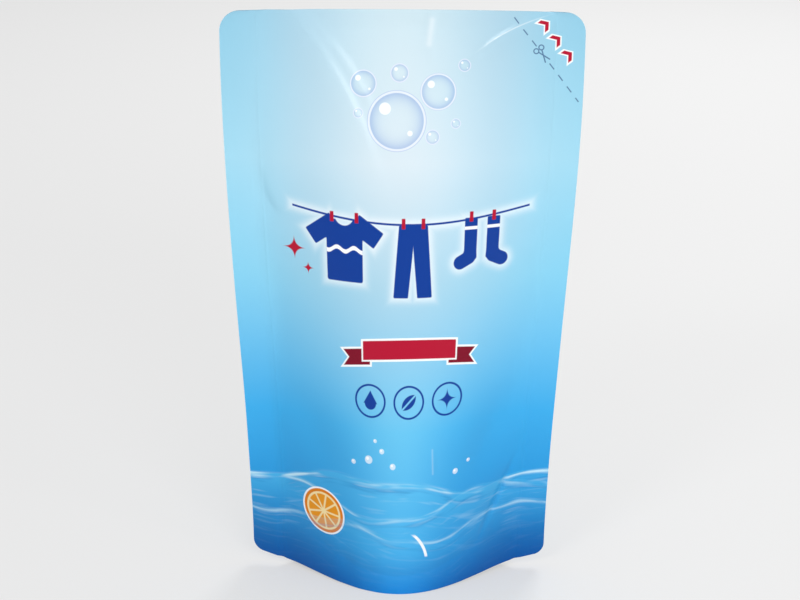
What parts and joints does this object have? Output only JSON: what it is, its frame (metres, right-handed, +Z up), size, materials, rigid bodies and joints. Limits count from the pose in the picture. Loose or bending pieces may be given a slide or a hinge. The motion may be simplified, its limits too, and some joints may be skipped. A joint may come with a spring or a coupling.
{
  "type": "laundry detergent stand-up pouch",
  "caption": "Filled stand-up refill pouch of glossy printed film, with welded side and top seals and a folded gusset base that it stands on.",
  "frame": {"origin": "on the table under the middle of the pouch, at the flat floor of its gusset", "axes": "+Z up along the pouch's height, +X to the right across its width as seen from the front, and the printed front faces -Y"},
  "size_m": [0.14, 0.0612, 0.232],
  "materials": {
    "film": "glossy printed laminated film"
  },
  "bodies": {
    "root": {"pouch": "film"}
  },
  "joints": []
}
